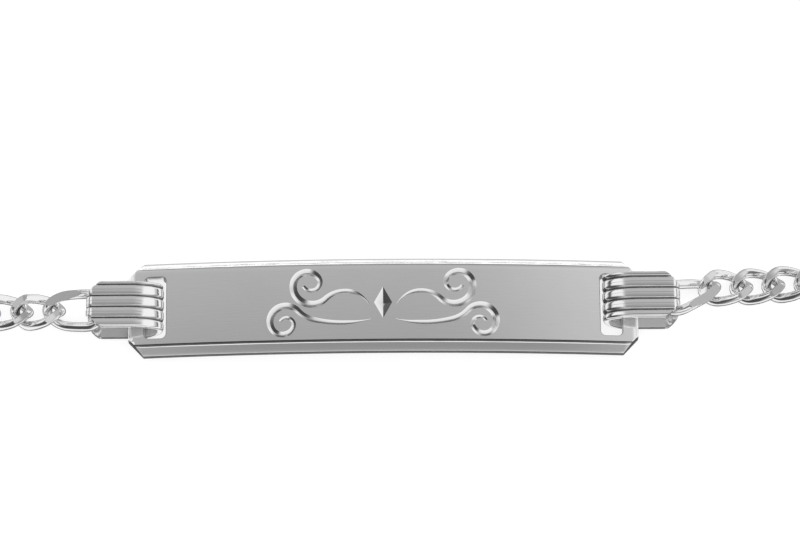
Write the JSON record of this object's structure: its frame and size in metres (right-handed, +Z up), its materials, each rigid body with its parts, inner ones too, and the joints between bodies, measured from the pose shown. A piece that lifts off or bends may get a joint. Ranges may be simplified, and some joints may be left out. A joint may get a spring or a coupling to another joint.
{
  "type": "engraved identity bracelet",
  "caption": "Bent identity plate with bevelled edges and engraved scrollwork, held by reeded strap bails on a curb chain that closes in a loop at a plain clasp.",
  "frame": {"origin": "middle of the bracelet's footprint on the surface that it lies on", "axes": "+X along the plate, +Y from the plate to the clasp, +Z up from the surface, through the plate's engraved face"},
  "size_m": [0.0826, 0.031, 0.0041],
  "materials": {
    "plate_silver": "polished silver with fine hairlines",
    "bail_silver": "polished silver, reeded",
    "chain_silver": "polished silver wire with flat cut faces",
    "clasp_silver": "polished silver"
  },
  "bodies": {
    "root": {"plate": "plate_silver", "bail_left": "bail_silver", "bail_right": "bail_silver", "chain_left": "chain_silver", "chain_right": "chain_silver", "jump_ring_left": "clasp_silver", "jump_ring_right": "clasp_silver", "clasp": "clasp_silver"}
  },
  "joints": []
}
